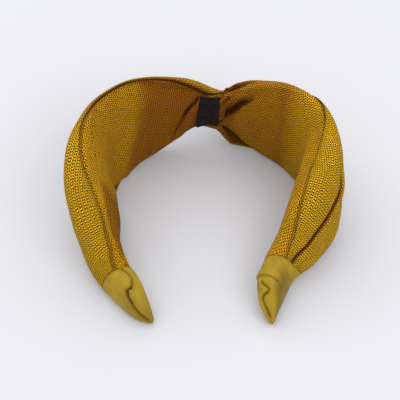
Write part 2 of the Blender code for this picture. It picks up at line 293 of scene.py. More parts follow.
class Strip:
    """A grid over the band's surface: rows along s, columns round it between two angles.

    shear moves the rows along the band, by distance and angle.
    """

    def __init__(self, s, first, last, columns, shear=None):
        self.s = np.asarray(s, float)
        rows = len(self.s)
        first = np.broadcast_to(first, rows)
        last = np.broadcast_to(last, rows)
        self.angle, self.total = even_angles(Frames(self.s), first, last, columns)
        self.width = np.linspace(0, 1, columns)[None, :] * self.total
        self.along = np.broadcast_to(self.s[:, None], self.angle.shape)
        if shear is not None:
            self.along = shear(self.along, self.angle)
        frames = Frames(self.along.ravel())
        out, up = frames.outline(self.angle.reshape(-1, 1))
        self.points = frames.place(out, up).reshape(rows, columns, 3)
        centre = frames.centre.reshape(rows, columns, 3)
        self.normal = outward_normals(self.points, centre, np.gradient(self.points, axis=1))

    def weave(self, middle, points):
        """The weave map, in millimetres, measured round the finished cloth from the angle middle."""
        squares = (np.diff(points, axis=1) ** 2).sum(-1) - np.diff(self.along, axis=1) ** 2
        width = np.cumsum(np.sqrt(np.maximum(squares, 1e-6)), axis=1)
        width = np.concatenate([np.zeros((len(width), 1)), width], axis=1)
        zero = np.array([np.interp(middle, a, w) for a, w in zip(self.angle, width)])
        return np.stack([self.along, width - zero[:, None]], -1)

    def moved(self, distance):
        """The points raised from the surface, and kept above the table."""
        return on_table(self.points + self.normal * distance[..., None])


def surface_path(knots, count=80):
    """Points in millimetres of a line over the surface, through (distance, angle) knots."""
    knots = np.array(knots, float)
    t = np.linspace(0, len(knots) - 1, count)
    s, angle = (hermite(t, np.arange(len(knots)), knots[:, i]) for i in (0, 1))
    frames = Frames(s)
    out, up = frames.outline(angle[:, None])
    return frames.place(out, up)[:, 0]


def distance_to(grid, path):
    """Signed distance of each grid point to the path, and its share of the way along it.

    Before the path's start the share goes below 0, by 0.1 a millimetre.
    """
    flat = grid.points.reshape(-1, 3)
    near = np.full(len(flat), 1e9)
    where = np.zeros(len(flat), int)
    for i, p in enumerate(path):
        d = np.linalg.norm(flat - p, axis=1)
        closer = d < near
        near[closer], where[closer] = d[closer], i
    tangent = np.gradient(path, axis=0)
    tangent /= np.linalg.norm(tangent, axis=1, keepdims=True)
    offset = flat - path[where]
    sideways = np.cross(tangent[where], grid.normal.reshape(-1, 3))
    side = (sideways * offset).sum(1)
    along = (tangent[where] * offset).sum(1)
    beyond = np.where((where == 0) | (where == len(path) - 1), np.abs(along), 0.0)
    shape = grid.angle.shape
    across = np.abs(side) + beyond + np.maximum(near - FOLD_REACH, 0)
    share = where / (len(path) - 1) - 0.1 * beyond * (where == 0)
    return np.copysign(across, side).reshape(shape), share.reshape(shape)


def fold(signed, height, radius, reach):
    """A layer of cloth lying over another: raised where signed is above 0, with a round edge."""
    up = 1 - round_off(1 - np.clip(signed / radius, 0, 1))
    raised = height * up * (1 - smooth(signed, radius, reach))
    tucked = -0.35 * height * np.exp(-np.abs(signed) / 0.9)
    return np.where(signed > 0, raised + tucked * np.exp(-signed / 0.5), tucked)


def ripple(s, w, seed, size):
    """Slow, uneven swelling of padded cloth, from -1 to 1."""
    rng = np.random.default_rng(seed)
    total = np.zeros(np.broadcast(s, w).shape)
    for _ in range(7):
        direction = rng.uniform(0, 2 * math.pi)
        wave = rng.uniform(0.6, 1.6) * size
        total += np.sin(
            2 * math.pi * (s * math.cos(direction) + w * math.sin(direction)) / wave
            + rng.uniform(0, 2 * math.pi)
        )
    return total / 5


def grid_object(name, points, uv, surface, closed=False, crease=None, deep_shade=None):
    """A mesh from a grid of points in millimetres, with a UV map in metres called weave.

    Its two attributes, from 0 to 1, are painted shade: the first darkens the cloth in a fold or seam,
    the second towards the crown.
    """
    rows, columns = points.shape[:2]
    index = np.arange(rows * columns).reshape(rows, columns)
    if closed:
        index = np.concatenate([index, index[:, :1]], axis=1)
    quads = np.stack([index[:-1, :-1], index[:-1, 1:], index[1:, 1:], index[1:, :-1]], -1)
    quads = quads.reshape(-1, 4)
    mesh = bpy.data.meshes.new(name)
    mesh.from_pydata((points.reshape(-1, 3) * MM).tolist(), [], quads.tolist())
    layer = mesh.uv_layers.new(name="weave")
    corner_uv = (uv.reshape(-1, 2) * MM)[quads.reshape(-1)]
    layer.data.foreach_set("uv", corner_uv.astype(np.float32).ravel())
    # The painted shade, kept as two attributes of the mesh.
    for attribute, values in (("crease", crease), ("deep_shade", deep_shade)):
        layer = mesh.attributes.new(attribute, "FLOAT", "POINT")
        if values is not None:
            layer.data.foreach_set("value", np.clip(values, 0, 1).astype(np.float32).ravel())
    mesh.materials.append(surface)
    mesh.update()
    mesh.shade_smooth()
    obj = bpy.data.objects.new(name, mesh)
    bpy.context.scene.collection.objects.link(obj)
    return obj


# Materials

LIGHT = (0.72, 0.42, 0.011, 1.0)
DARK = (0.04, 0.010, 0.001, 1.0)
# A redder copy of the knit's colours: painted shade for the band's inner side and the knot.
SHADED_INNER_LIGHT = (0.80, 0.415, 0.010, 1.0)
SHADED_INNER_DARK = (0.03, 0.007, 0.001, 1.0)
# Painted shade: this colour makes the knit redder and darker towards the crown.
CROWN_SHADE = (0.60, 0.40, 0.70, 1.0)
WRAP_LIGHT = (0.34, 0.225, 0.013, 1.0)
WRAP_DARK = (0.27, 0.172, 0.008, 1.0)
# Colours of painted shade, multiplied in where the cloth lies in a fold or seam, and on the wraps'
# shaded parts.
KNIT_CREASE_SHADE = (0.20, 0.08, 0.06, 1.0)
WRAP_DEEP_SHADE = (0.52, 0.50, 0.18, 1.0)
WRAP_CREASE_SHADE = (0.38, 0.26, 0.14, 1.0)

COTTON_THREAD = 0.00034  # thread spacings, in metres
TAPE_THREAD = 0.0004
TAPE_RIB = 0.00055
STITCH_SLANT = 1.7  # how steeply a stitch's legs rise, in courses across a wale


class Graph:
    """Short calls for building a node material."""

    def __init__(self, name):
        self.material = bpy.data.materials.new(name)
        self.material.use_nodes = True
        self.tree = self.material.node_tree
        self.shader = self.tree.nodes["Principled BSDF"]

    def put(self, socket, value):
        if isinstance(value, bpy.types.NodeSocket):
            self.tree.links.new(value, socket)
        else:
            socket.default_value = value

    def math(self, operation, *values):
        node = self.tree.nodes.new("ShaderNodeMath")
        node.operation = operation
        for socket, value in zip(node.inputs, values):
            self.put(socket, value)
        return node.outputs[0]

    def noise(self, vector, scale, detail=3.0, roughness=0.6):
        node = self.tree.nodes.new("ShaderNodeTexNoise")
        self.put(node.inputs["Vector"], vector)
        node.inputs["Scale"].default_value = scale
        node.inputs["Detail"].default_value = detail
        node.inputs["Roughness"].default_value = roughness
        return node.outputs["Fac"]

    def mix(self, factor, a, b, blend="MIX"):
        node = self.tree.nodes.new("ShaderNodeMix")
        node.data_type = "RGBA"
        node.blend_type = blend
        self.put(node.inputs["Factor"], factor)
        self.put(node.inputs["A"], a)
        self.put(node.inputs["B"], b)
        return node.outputs["Result"]

    def ramp(self, value, low, high):
        node = self.tree.nodes.new("ShaderNodeMapRange")
        node.interpolation_type = "SMOOTHSTEP"
        self.put(node.inputs["Value"], value)
        node.inputs["From Min"].default_value = low
        node.inputs["From Max"].default_value = high
        return node.outputs["Result"]

    def weave(self, turn):
        """The weave map's coordinates in metres, turned by an angle in degrees."""
        uv = self.tree.nodes.new("ShaderNodeUVMap")
        uv.uv_map = "weave"
        mapping = self.tree.nodes.new("ShaderNodeMapping")
        mapping.inputs["Rotation"].default_value = (0, 0, math.radians(turn))
        self.tree.links.new(uv.outputs["UV"], mapping.inputs["Vector"])
        return mapping.outputs["Vector"]

    def with_painted_shade(self, colour, name, shade_colour):
        """The colour, multiplied by a painted shade colour where the mesh attribute is high."""
        node = self.tree.nodes.new("ShaderNodeAttribute")
        node.attribute_name = name
        shade = self.mix(node.outputs["Fac"], (1.0, 1.0, 1.0, 1.0), shade_colour)
        return self.mix(1.0, colour, shade, "MULTIPLY")

    def split(self, vector):
        node = self.tree.nodes.new("ShaderNodeSeparateXYZ")
        self.put(node.inputs[0], vector)
        return node.outputs[0], node.outputs[1]

    def bump(self, height, distance, strength=1.0, normal=None):
        node = self.tree.nodes.new("ShaderNodeBump")
        node.inputs["Strength"].default_value = strength
        node.inputs["Distance"].default_value = distance
        self.put(node.inputs["Height"], height)
        if normal is not None:
            self.put(node.inputs["Normal"], normal)
        return node.outputs["Normal"]

    def finish(self, colour, roughness, normal, sheen, sheen_tint, specular=0.25):
        self.put(self.shader.inputs["Base Color"], colour)
        self.put(self.shader.inputs["Roughness"], roughness)
        self.put(self.shader.inputs["Normal"], normal)
        self.shader.inputs["Specular IOR Level"].default_value = specular
        self.shader.inputs["Sheen Weight"].default_value = sheen
        self.shader.inputs["Sheen Roughness"].default_value = 0.45
        self.shader.inputs["Sheen Tint"].default_value = sheen_tint
        return self.material


def knit(name, light, dark, turn, wale=2.1, course=1.2, unevenness=0.17):
    """Fine knit: columns of V stitches with dark gaps between the yarns."""
    g = Graph(name)
    where = g.weave(turn)
    wobble = g.noise(where, 600.0, 2.0)
    u, v = g.split(where)
    x = g.math("DIVIDE", u, wale * MM)
    y = g.math("DIVIDE", v, course * MM)
    x = g.math("ADD", x, g.math("MULTIPLY", g.math("SUBTRACT", wobble, 0.5), 2 * unevenness))
    slack = g.noise(where, 420.0, 2.0)
    y = g.math("ADD", y, g.math("MULTIPLY", g.math("SUBTRACT", slack, 0.5), 3 * unevenness))
    from_middle = g.math("ABSOLUTE", g.math("SUBTRACT", g.math("FRACT", x), 0.5))
    slant = g.math("MULTIPLY_ADD", from_middle, STITCH_SLANT, y)
    leg = g.math("COSINE", g.math("MULTIPLY", slant, 2 * math.pi))
    leg = g.math("MULTIPLY_ADD", leg, 0.5, 0.5)
    yarn = g.math("SINE", g.math("MULTIPLY", from_middle, 2 * math.pi))
    body = g.math("MULTIPLY_ADD", yarn, 0.85, 0.15)
    height = g.math("MULTIPLY", leg, body)
    fuzz = g.noise(where, 1500.0, 3.0, 0.7)
    height = g.math("MULTIPLY_ADD", g.math("SUBTRACT", fuzz, 0.5), 0.9, height)
    blotch = g.noise(where, 60.0, 3.0)
    shade = g.ramp(height, 0.18, 0.50)
    colour = g.mix(shade, dark, light)
    tone = g.math("MULTIPLY_ADD", blotch, 0.34, 0.83)
    grey = g.tree.nodes.new("ShaderNodeCombineColor")
    for socket in grey.inputs:
        g.put(socket, tone)
    colour = g.mix(1.0, colour, grey.outputs[0], "MULTIPLY")
    # Painted shade: redder and darker towards the crown, darker in folds and seams.
    colour = g.with_painted_shade(colour, "deep_shade", CROWN_SHADE)
    colour = g.with_painted_shade(colour, "crease", KNIT_CREASE_SHADE)
    normal = g.bump(height, 0.0004, 0.9)
    return g.finish(colour, 0.95, normal, 0.06, (1.0, 0.7, 0.2, 1.0), 0.05)


def smooth_cotton(name, light, dark):
    """Plain-woven cotton with a faint sheen."""
    g = Graph(name)
    where = g.weave(12.0)
    u, v = g.split(where)
    warp = g.math("SINE", g.math("MULTIPLY", u, 2 * math.pi / COTTON_THREAD))
    weft = g.math("SINE", g.math("MULTIPLY", v, 2 * math.pi / COTTON_THREAD))
    height = g.math("MULTIPLY_ADD", g.math("MULTIPLY", warp, weft), 0.5, 0.5)
    cloud = g.noise(where, 130.0, 4.0)
    colour = g.mix(g.ramp(cloud, 0.3, 0.7), dark, light)
    # Painted shade: darker on the wrap's shaded parts and in its creases.
    colour = g.with_painted_shade(colour, "deep_shade", WRAP_DEEP_SHADE)
    colour = g.with_painted_shade(colour, "crease", WRAP_CREASE_SHADE)
    crumple = g.noise(where, 260.0, 3.0)
    normal = g.bump(crumple, 0.0005, 0.35, g.bump(height, 0.00005, 0.5))
    return g.finish(colour, 0.62, normal, 0.1, (1.0, 0.85, 0.4, 1.0), 0.15)


def woven_tape(name):
    """Matt black tape with a fine rib."""
    g = Graph(name)
    where = g.weave(0.0)
    u, v = g.split(where)
    rib = g.math("SINE", g.math("MULTIPLY", v, 2 * math.pi / TAPE_RIB))
    across = g.math("SINE", g.math("MULTIPLY", u, 2 * math.pi / TAPE_THREAD))
    height = g.math("MULTIPLY_ADD", g.math("ADD", rib, g.math("MULTIPLY", across, 0.5)), 0.3, 0.5)
    cloud = g.noise(where, 300.0, 3.0)
    colour = g.mix(g.ramp(height, 0.1, 0.9), (0.004, 0.003, 0.003, 1), (0.016, 0.010, 0.010, 1))
    colour = g.mix(g.ramp(cloud, 0.35, 0.75), colour, (0.022, 0.014, 0.014, 1))
    normal = g.bump(height, 0.00012, 0.7)
    return g.finish(colour, 0.7, normal, 0.02, (0.8, 0.7, 0.7, 1.0), 0.05)


def spring_steel(name):
    """Bare steel strip with rolling streaks."""
    g = Graph(name)
    coords = g.tree.nodes.new("ShaderNodeTexCoord")
    streak = g.noise(coords.outputs["Object"], 700.0, 4.0)
    colour = g.mix(streak, (0.16, 0.17, 0.20, 1), (0.34, 0.34, 0.36, 1))
    g.put(g.shader.inputs["Metallic"], 1.0)
    return g.finish(colour, g.math("MULTIPLY_ADD", streak, 0.2, 0.28), g.bump(streak, 0.00004), 0.0,
                    (1, 1, 1, 1))


def wadding(name):
    """Off-white polyester fluff."""
    g = Graph(name)
    coords = g.tree.nodes.new("ShaderNodeTexCoord")
    fluff = g.noise(coords.outputs["Object"], 900.0, 5.0)
    colour = g.mix(fluff, (0.62, 0.58, 0.46, 1), (0.85, 0.82, 0.74, 1))
    return g.finish(colour, 0.95, g.bump(fluff, 0.0006), 0.3, (1, 1, 1, 1))


def hot_glue(name):
    """Cloudy set glue."""
    g = Graph(name)
    coords = g.tree.nodes.new("ShaderNodeTexCoord")
    cloud = g.noise(coords.outputs["Object"], 300.0, 3.0)
    colour = g.mix(cloud, (0.55, 0.47, 0.30, 1), (0.75, 0.69, 0.52, 1))
    return g.finish(colour, 0.35, g.bump(cloud, 0.0004), 0.0, (1, 1, 1, 1))


def bend(obj):
    """Bakes the object's transform into its mesh."""
    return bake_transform(obj)


def seam_angle(side, s):
    return along_knots(s, LEFT_SEAM if side == "left" else RIGHT_SEAM)


def lower_seam_angle(side, s):
    return along_knots(s, LEFT_LOWER_SEAM if side == "left" else RIGHT_LOWER_SEAM)


def hem(width, total, radius, depth):
    """How far a panel's two edges turn down into the seams."""
    def edge(distance):
        return -depth * round_off(np.clip(1 - distance / radius, 0, 1))
    return edge(width) + edge(total - width)


def mouth(side, angle):
    """Distance from the crown to the edge of the end wrap, at an angle round the section."""
    if side == "left":
        return 146.6 + 3.2 * (1 - np.cos(np.radians(angle - 25)))
    return 140.4 + 4.4 * (1 - np.cos(np.radians(angle)))


def tuck(side, strip):
    """How far the knit sinks where it goes into the end wrap."""
    beyond = np.abs(strip.along) - mouth(side, strip.angle)
    return -2.4 * smooth(beyond, -1.2, 3.5)


def steps(low, high, spacing):
    """Even distances from low to high, about spacing apart."""
    return np.linspace(low, high, int(abs(high - low) / spacing) + 1)


def bump(x, low, high, ramp):
    """1 between low and high, falling to 0 over ramp on either side."""
    return smooth(x, low - ramp, low) * (1 - smooth(x, high, high + ramp))


def groove(distance, width):
    """1 on a line, falling to 0 on both sides of it."""
    return np.exp(-((distance / width) ** 2))


def seam_shade(side, along):
    """How dark the painted shade in the upper seam is: on the right it fades where it passes behind
    the crown.
    """
    return 1.0 if side == "left" else smooth(along, 24, 56)


def build_outer(side):
    """The outer panel: over both rims, from the lower seam to the upper one."""
    crown_end, arm_end = OUTER_ENDS[side]
    left = side == "left"
    s = steps(crown_end, arm_end, 0.62)
    shear = None if left else lobe_edge(crown_end)
    strip = Strip(s, lower_seam_angle(side, s) - 360.0, seam_angle(side, s), CLOTH_COLUMNS, shear)
    far = np.abs(strip.along)
    lift = hem(strip.width, strip.total, 1.0, 1.5)
    lift += 0.3 * ripple(strip.along, strip.width, 11 if left else 12, 26.0)
    lift += rim_fullness(side, strip)
    lift += 1.1 * (1 - smooth(strip.angle, -100, -70)) * bump(far, 18, 78, 12)
    lift += tuck(side, strip)
    # Painted shade in the grooves of both seams and, below, in the lobes' folds.
    shade = seam_shade(side, strip.along)
    crease = 1.1 * shade * groove(strip.total - strip.width, 1.15)
    crease += (0.3 + 0.4 * shade) * groove(strip.width, 0.8)
    if left:
        extra, extra_crease = left_outer_lift(strip)
    else:
        extra, extra_crease = right_outer_lift(strip, crown_end)
    lift += extra
    crease += extra_crease
    # Painted shade: darker towards the crown, most on the underside.
    below = 1 - smooth(strip.angle, -100, -45)
    deep_shade = (1 - smooth(far, 18, 42)) * (0.36 + 0.64 * below)
    points = strip.moved(lift)
    material = knit(side + "_outer_knit", LIGHT, DARK, 68.0 if left else 118.0)
    weave = strip.weave(0.0, points)
    obj = grid_object(side + "_outer_cloth", points, weave, material, crease=crease, deep_shade=deep_shade)
    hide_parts(side + "_outer_panel")
    return bend(obj)


def left_outer_lift(strip):
    """The left lobe sinks as it goes on under the right one."""
    lift = -2.4 * smooth(strip.along, 2, 13) * bump(strip.angle, -20, 5, 40)
    underside = 1 - smooth(strip.angle, -104, -50)
    lift += underside * (1.6 * smooth(strip.along, -6, 5) - 5.5 * smooth(strip.along, 6, 10))
    # Painted shade where the left lobe goes on under the right one.
    crease = 0.9 * smooth(strip.along, 5, 9) * smooth(strip.angle, 60, 90)
    return lift, crease


def right_outer_lift(strip, crown_end):
    """The right lobe's crown edge, its full underside and the pleat along the arm."""
    lift = cuff(strip, crown_end) * smooth(strip.angle, -60, 40)
    underside = np.interp(strip.along, (4, 8, 12, 18, 24, 32), (1.6, 2.6, 4.4, 5.2, 3.0, 0.0))
    lift += underside * (1 - smooth(strip.angle, -104, -35))
    signed, share = distance_to(strip, surface_path(RIGHT_PLEAT))
    weight = smooth(share, 0.02, 0.3)
    lift += fold(-signed, 1.5, 2.0, 12.0) * weight
    # The second value is painted shade in the pleat's fold line.
    return lift, 1.2 * groove(signed - 0.1, 0.7) * weight


def cuff(strip, crown_end):
    """The right lobe's rounded crown edge, where it folds down onto the left lobe."""
    return -1.3 * round_off(np.clip(1 - (strip.s - crown_end) / 2.0, 0, 1))[:, None]


def rim_fullness(side, strip):
    """The extra height over the top rim, which both panels share beside the knot."""
    height = along_knots(strip.along, LEFT_FULLNESS if side == "left" else RIGHT_FULLNESS)
    return height * smooth(strip.angle, 5, 45) * (1 - smooth(strip.angle, 100, 123))


def lobe_edge(crown_end):
    """Shear that gives the right lobe the slanting edge with which it crosses the left lobe."""
    angles = (-60, 20, 60, 91, 119, 135, 160)
    starts = (crown_end, 8, 8.4, 8, 3.6, 2, 1)

    def shear(along, angle):
        first = np.interp(angle, angles, starts)
        near = np.clip(1 - (along - crown_end) / 20, 0, 1)
        return along + np.maximum(first - crown_end, 0) * near
    return shear


def left_inner_lift(strip):
    """The left arm's inner side: the rolled strip by the seam, the underlap and the soft ridge."""
    rim = along_knots(strip.s, LEFT_RIM)[:, None]
    first = strip.angle[:, :1]
    roll = np.clip((strip.angle - first) / (rim - first), 0, 1)
    lift = 1.1 * np.sin(math.pi * roll) ** 0.7 * (strip.angle < rim)
    column = np.argmin(np.abs(strip.angle - rim), 1)[:, None]
    past = strip.width - np.take_along_axis(strip.width, column, 1)
    arm = 1 - smooth(strip.along, -82, -66)
    lift -= 1.3 * groove(past, 1.2) * arm
    # Painted shade in the groove beside the rolled strip, along the arm.
    crease = 0.6 * groove(past, 0.9) * arm

    ribs = bump(strip.along, -134, -106, 10) * smooth(past, 0.5, 2.0)
    wave = np.cos(past * 2 * math.pi / 2.1)
    # Painted shade between the ribs.
    crease += ribs * (0.32 + 0.30 * wave)
    lift += ribs * 0.15 * wave
    lift += 1.5 * bump(strip.along, -118, -92, 24) * bump(strip.angle, 170, 225, 30)
    lift += 1.1 * smooth(strip.angle, 215, 255) * bump(strip.along, -78, -18, 12)

    signed, share = distance_to(strip, surface_path(LEFT_UNDERLAP))
    weight = (1 - smooth(share, 0.75, 0.95)) * smooth(share, -0.4, -0.05)
    lift += fold(np.where(strip.along < 0, -signed, 0), 1.9, 1.6, 9.0) * weight
    # Painted shade along the underlap's edge, weaker towards its end.
    crease += groove(signed - 0.1, 0.75) * (1 - 0.7 * smooth(share, 0.3, 0.7)) * weight

    signed, share = distance_to(strip, surface_path(LEFT_SECOND_FOLD))
    near = bump(share, 0.25, 0.6, 0.2)
    lift -= 0.6 * groove(signed, 0.9) * near
    # Painted shade in the second fold.
    crease += 0.3 * groove(signed, 0.7) * near
    lift -= 3.0 * bump(strip.angle, 200, 259, 30) * bump(strip.along, -77, -67, 8)

    signed, share = distance_to(strip, surface_path(LEFT_SOFT_RIDGE))
    lift += 1.2 * groove(signed, 4.0) * smooth(share, 0.0, 0.25)
    # Painted shade: darker on the crown's side of the soft ridge, lighter on the top rim, gone past
    # 88 mm along the arm except on the ribbed face.
    crownwards = np.where(strip.along > -20, 40.0, np.where(strip.along < -80, -40.0, -signed))
    deep_shade = 0.25 + 0.75 * smooth(crownwards, -3.0, 9.0)
    band = bump(strip.angle, 60, 112, 12) * (1 - smooth(strip.along, -66, -36))
    deep_shade *= (1 - 0.6 * band) * smooth(strip.along, -88, -62)
    shaded = 0.6 * bump(strip.along, -136, -104, 12) * smooth(past, 0.5, 2.0)
    return lift, crease, np.maximum(deep_shade, shaded)


def right_inner_lift(strip):
    """The right arm's inner side: gathers by the label, a pocket, and the lobe's folded edge."""
    signed, share = distance_to(strip, surface_path(RIGHT_RIDGE))
    weight = (1 - smooth(share, 0.5, 1.0)) * smooth(share, -0.3, 0.0)
    lobe = np.where(signed > 0, signed, 0)
    pocket = np.where(signed < 0, -signed, 0)
    lift = 2.2 * np.exp(-lobe / 6.0) * smooth(signed, -0.4, 0.4) * weight
    hollow = smooth(pocket, 0.0, 1.6) * (1 - smooth(pocket, 2.0, 6.5))
    lift -= 2.8 * hollow * bump(strip.along, 11, 26, 3) * weight
    # Painted shade in the pocket above the ridge and along the ridge's line.
    shaded = smooth(pocket, 0.0, 0.5) * groove(pocket, 3.4) * (pocket > 0)
    crease = 1.3 * shaded * bump(strip.along, 11.5, 25, 3) * weight
    crease += 0.6 * groove(signed + 0.3, 0.5) * weight

    for knots in RIGHT_GATHERS:
        signed, share = distance_to(strip, surface_path(knots))
        near = (1 - smooth(share, 0.5, 0.95)) * smooth(share, -0.2, 0.0)
        lift += 1.3 * groove(signed, 0.85) * near
        # Painted shade beside each gather.
        crease += 0.55 * groove(signed + 1.2, 0.55) * near

    signed, share = distance_to(strip, surface_path(RIGHT_SOFT_RIDGE))
    lift += 0.9 * groove(signed, 4.5) * smooth(share, 0.0, 0.3)
    fullness = np.interp(strip.along, *zip(*RIGHT_INNER_FULLNESS))
    lift += fullness * bump(strip.angle, 165, 235, 32)
    lift += 1.1 * smooth(strip.angle, 215, 255) * bump(strip.along, 24, 74, 10)
    # Painted shade towards the crown, lighter between 20 and 40 mm, gone past 60 mm.
    deep_shade = (1 - smooth(strip.along, 40, 60)) * (1 - 0.4 * bump(strip.along, 20, 40, 8))
    return lift, crease, deep_shade


def build_inner(side):
    """The inner panel, on the head side, between the two seams."""
    crown_end, arm_end = INNER_ENDS[side]
    left = side == "left"
    s = steps(crown_end, arm_end, 0.5)
    shear = None if left else lobe_edge(crown_end)
    strip = Strip(s, seam_angle(side, s), lower_seam_angle(side, s), CLOTH_COLUMNS, shear)
    extra, crease, deep_shade = left_inner_lift(strip) if left else right_inner_lift(strip)
    lift = hem(strip.width, strip.total, 1.2, 1.4)
    lift += 0.3 * ripple(strip.along, strip.width, 21 if left else 22, 26.0)
    lift += rim_fullness(side, strip) * (1 - smooth(np.abs(strip.along), 40, 62))
    if not left:
        lift += cuff(strip, crown_end) * (1 - smooth(strip.angle, 118, 140))
    lift += extra + tuck(side, strip)
    # Painted shade in the grooves of both seams.
    crease += 0.7 * seam_shade(side, strip.along) * groove(strip.width, 0.9)
    lower_shade = 0.8 if left else 0.8 * smooth(strip.along, 16, 44) + 0.35
    crease += lower_shade * groove(strip.total - strip.width, 1.0)
    points = strip.moved(lift)
    turn = 62.0 if left else 35.0
    # The inner knit takes the redder colours of painted shade.
    material = knit(side + "_inner_knit", SHADED_INNER_LIGHT, SHADED_INNER_DARK, turn, 2.3, 1.3)
    weave = strip.weave(180.0, points)
    obj = grid_object(side + "_inner_cloth", points, weave, material, crease=crease, deep_shade=deep_shade)
    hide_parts(side + "_inner_panel")
    return bend(obj)


def tube(name, centre_line, normals, radius, material, sides=10):
    """A round cord along a line of points, with its weave map."""
    tangent = np.gradient(centre_line, axis=0)
    tangent /= np.linalg.norm(tangent, axis=1, keepdims=True)
    across = np.cross(tangent, normals)
    turns = np.linspace(0, 2 * math.pi, sides, endpoint=False)
    ring = (
        np.cos(turns)[None, :, None] * across[:, None, :]
        + np.sin(turns)[None, :, None] * normals[:, None, :]
    )
    points = centre_line[:, None, :] + ring * radius
    uv = np.stack(np.broadcast_arrays(lengths(centre_line)[:, None], turns[None, :]), -1)
    return grid_object(name, on_table(points), uv, material, closed=True)


def build_piping(side, edge):
    """The seam's turned edge, a thin cord in the groove between the two panels."""
    s = steps(*PIPING_ENDS[side], 0.9)
    angle = seam_angle(side, s) if edge == "upper" else lower_seam_angle(side, s)
    strip = Strip(s, angle - 0.5, angle + 0.5, 3)
    line = strip.points[:, 1] + strip.normal[:, 1] * -0.70
    material = knit(side + "_" + edge + "_seam_knit", LIGHT, DARK, 30.0, 1.1, 0.8)
    obj = tube(side + "_" + edge + "_seam", line, strip.normal[:, 1], 0.5, material)
    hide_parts(side + "_" + edge + "_piping")
    return bend(obj)


def left_wrap_lift(patch, far):
    """The left wrap's crease runs from its mouth to the tip, puckered where it starts."""
    signed, share = distance_to(patch, surface_path(LEFT_WRAP_CREASE))
    depth = smooth(share, 0.0, 0.12)
    pucker = np.sin(share * 46) * groove(signed, 2.2) * (1 - smooth(share, 0.4, 0.7))
    lift = fold(signed, 1.3, 1.6, 7.0) * depth - 1.1 * groove(signed, 0.55) + 0.35 * pucker
    # Painted shade in the crease and beside it, and towards the tip.
    crease = groove(signed - 0.1, 0.5) * (0.6 + 0.4 * bump(share, 0.35, 0.6, 0.1))
    deep_shade = 0.35 * smooth(far, 160, 172) + 0.3 * groove(signed, 3.0) * depth
    slim = 2.2 * bump(patch.angle % 360, 165, 225, 40) * smooth(far, 157, 171)
    return lift, crease, deep_shade, slim


def right_wrap_lift(patch, far):
    """The right wrap has an arc across it and below that a crease in the shape of an S."""
    signed, share = distance_to(patch, surface_path(RIGHT_WRAP_ARC))
    lift = 0.8 * fold(-signed, 1.0, 1.2, 5.0)
    # Painted shade in the arc's line.
    crease = 0.55 * groove(signed, 0.5) * bump(share, 0.1, 0.85, 0.1)
    signed, share = distance_to(patch, surface_path(RIGHT_WRAP_CREASE))
    lift += 0.9 * fold(signed, 1.1, 1.3, 4.0) - 0.7 * groove(signed, 0.6)
    # Painted shade in the S crease.
    crease += 0.8 * groove(signed, 0.5) * bump(share, 0.05, 0.9, 0.08)
    # Painted shade: a little everywhere, more on the outer, lower side from past the mouth.
    deep_shade = 0.15 + 0.85 * bump(patch.angle, -60, 30, 40) * smooth(far, 142, 158)
    slim = 0.7 * bump(patch.angle % 360, 150, 215, 40) * smooth(far, 158, 170)
    return lift, crease, deep_shade, slim


def over_tip(grid, beyond=0.0):
    """The grid with its last row repeated for the rings that close the wrap's tip."""
    return np.concatenate([grid, np.tile(grid[-1] + beyond, (len(TIP_RINGS), 1))], axis=0)


def build_wrap(side):
    """The pointed cap of smooth cloth, with the crease where its edges are folded over."""
    end, sign = (LEFT_END, -1) if side == "left" else (RIGHT_END, 1)
    ring = Frames([sign * WRAP_RING])
    angles = even_angles(ring, np.array([-180.0]), np.array([180.0]), WRAP_COLUMNS + 1)[0]
    turned = lengths(ring.place(*ring.outline(angles))[0])[:-1]
    angles = angles[0, :-1]
    share = np.linspace(0, 1, WRAP_ROWS)[:, None]
    edge_line = sign * mouth(side, angles)[None, :]
    s = edge_line + share * (end - edge_line)
    frames = Frames(s.ravel())
    out, up = frames.outline(np.tile(angles, WRAP_ROWS)[:, None])
    points = frames.place(out, up)[:, 0].reshape(WRAP_ROWS, WRAP_COLUMNS, 3)
    centre = frames.centre.reshape(points.shape)
    normal = outward_normals(points, centre, np.roll(points, -1, 1) - np.roll(points, 1, 1))
    patch = Patch(points, normal, np.tile(angles, (WRAP_ROWS, 1)))

    details = left_wrap_lift if side == "left" else right_wrap_lift
    extra, extra_crease, deep_shade, slim = details(patch, np.abs(s))
    from_mouth = np.abs(s - edge_line)
    lift = 0.45 - 1.2 * round_off(np.clip(1 - from_mouth / 1.1, 0, 1)) + extra
    lift = lift * (1 - 0.7 * smooth(share, 0.8, 1.0)) - slim * (1 - smooth(share, 0.93, 1.0))
    # Painted shade in the groove at the wrap's mouth.
    crease = 0.5 * groove(from_mouth, 0.5) + extra_crease

    points = points + normal * lift[..., None]
    axis = centre[-1, 0] - centre[-3, 0]
    tip = points[-1].mean(0) + TIP_REACH * axis / np.linalg.norm(axis)
    cap = np.array([tip + (points[-1] - tip) * k for k in TIP_RINGS])
    points = on_table(np.concatenate([points, cap], axis=0))
    uv = np.stack(np.broadcast_arrays(over_tip(s, sign * 1.0), turned[None, :]), -1)
    material = smooth_cotton(side + "_wrap_cotton", WRAP_LIGHT, WRAP_DARK)
    obj = grid_object(
        side + "_wrap_cloth", points, uv, material, True, over_tip(crease), over_tip(deep_shade)
    )
    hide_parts(side + "_end_wrap")
    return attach(obj, side + "_arm")


